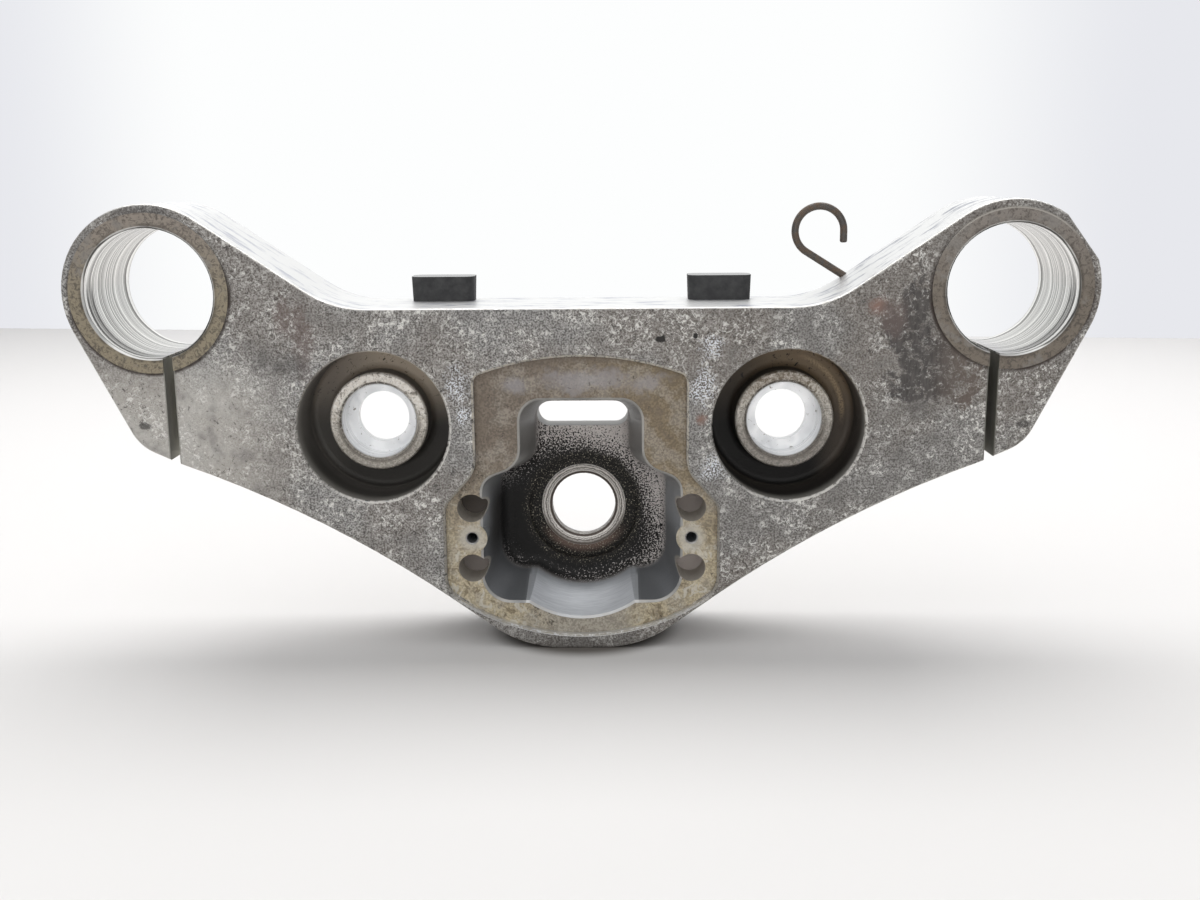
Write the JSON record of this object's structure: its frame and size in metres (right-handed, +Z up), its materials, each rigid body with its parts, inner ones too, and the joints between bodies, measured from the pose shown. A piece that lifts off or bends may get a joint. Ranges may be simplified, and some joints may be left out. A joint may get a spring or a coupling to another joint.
{
  "type": "motorcycle triple clamp",
  "caption": "Aluminium fork bridge with split fork lugs, round riser seats and a stem pocket; rubber buffers and a wire hook on its top edge.",
  "frame": {"origin": "centre of the stem hole on the flat back face", "axes": "+X across the bike towards the lug with the filed flat, +Y along the stem axis out of the back face, +Z up from the foot towards the fork lugs"},
  "size_m": [0.2796, 0.0346, 0.1248],
  "materials": {
    "cast_aluminium": "weathered casting, grey and stained",
    "black_rubber": "moulded matte",
    "zinc_steel": "zinc plated, dulled",
    "dark_wire": "dark, lightly rusted wire"
  },
  "bodies": {
    "root": {"clamp_body": "cast_aluminium", "buffer_left": "black_rubber", "buffer_right": "black_rubber", "pinch_screw_left": "zinc_steel", "pinch_screw_right": "zinc_steel", "cable_hook": "dark_wire"}
  },
  "joints": []
}
